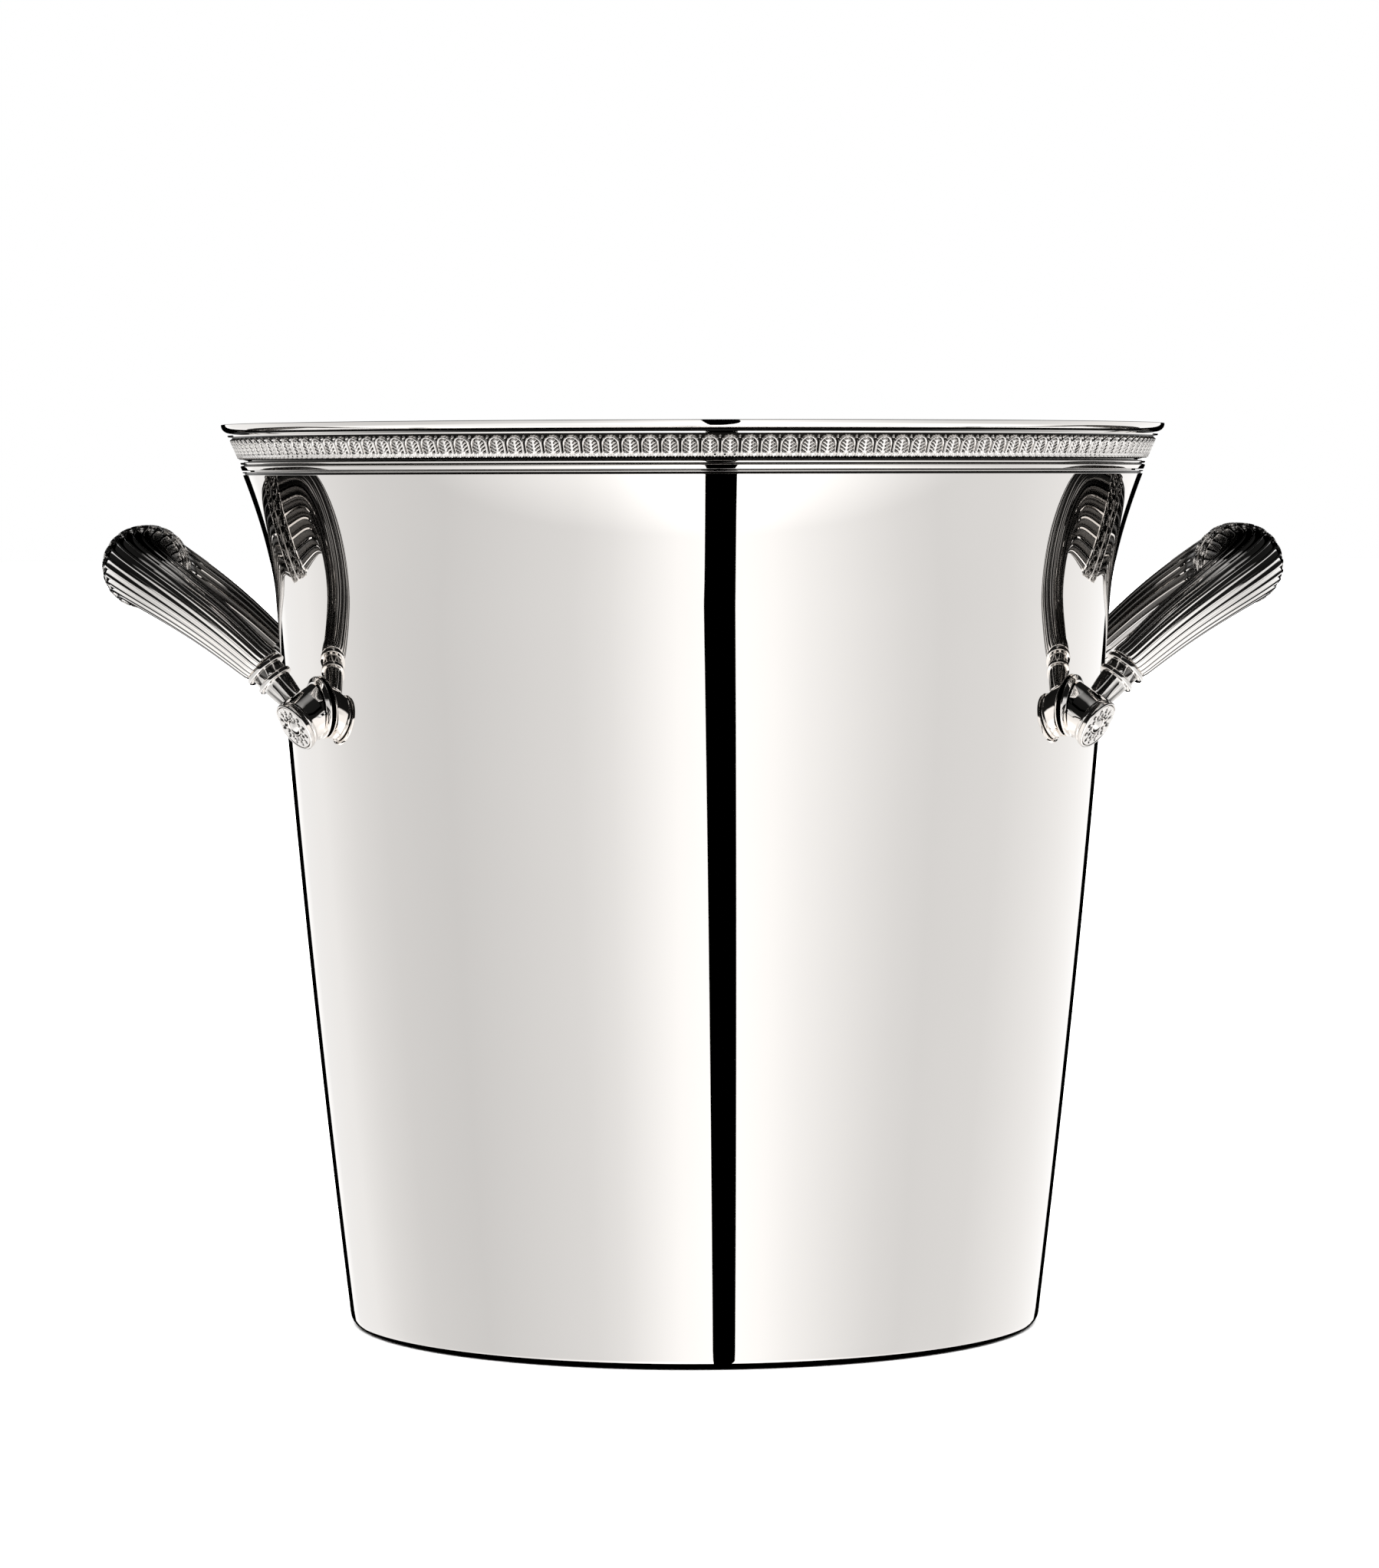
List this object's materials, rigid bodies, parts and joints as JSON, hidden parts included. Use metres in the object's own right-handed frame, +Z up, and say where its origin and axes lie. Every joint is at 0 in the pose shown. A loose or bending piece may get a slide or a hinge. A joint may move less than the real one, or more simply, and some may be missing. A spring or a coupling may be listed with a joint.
{
  "type": "champagne bucket",
  "caption": "Tapered mirror-polished silver wine cooler with a flared rim, a palmette frieze under an everted lip, and two fixed fluted loop handles on rosette bosses.",
  "frame": {"origin": "centre of the base, on the surface that the bucket stands on", "axes": "+Z up along the bucket's axis, X through the two handles, which stand at +X and -X"},
  "size_m": [0.2618, 0.2094, 0.2],
  "materials": {
    "polished_silver": "mirror-polished silver plate",
    "cast_silver": "polished silver-plated casting, a little softer than the wall",
    "oxidised_silver": "silver plate with dark tarnish left in the recesses of the relief"
  },
  "bodies": {
    "root": {"bucket_shell": "polished_silver", "rim_lip": "polished_silver", "rim_bead": "polished_silver", "frieze_band": "oxidised_silver", "left_front_arm": "cast_silver", "left_rear_arm": "cast_silver", "right_front_arm": "cast_silver", "right_rear_arm": "cast_silver", "left_crown_band": "oxidised_silver", "right_crown_band": "oxidised_silver", "left_front_collar": "cast_silver", "left_rear_collar": "cast_silver", "right_front_collar": "cast_silver", "right_rear_collar": "cast_silver", "left_front_boss": "cast_silver", "left_rear_boss": "cast_silver", "right_front_boss": "cast_silver", "right_rear_boss": "cast_silver", "left_front_wall_plate": "cast_silver", "left_rear_wall_plate": "cast_silver", "right_front_wall_plate": "cast_silver", "right_rear_wall_plate": "cast_silver", "left_front_rosette": "oxidised_silver", "left_rear_rosette": "oxidised_silver", "right_front_rosette": "oxidised_silver", "right_rear_rosette": "oxidised_silver"}
  },
  "joints": []
}
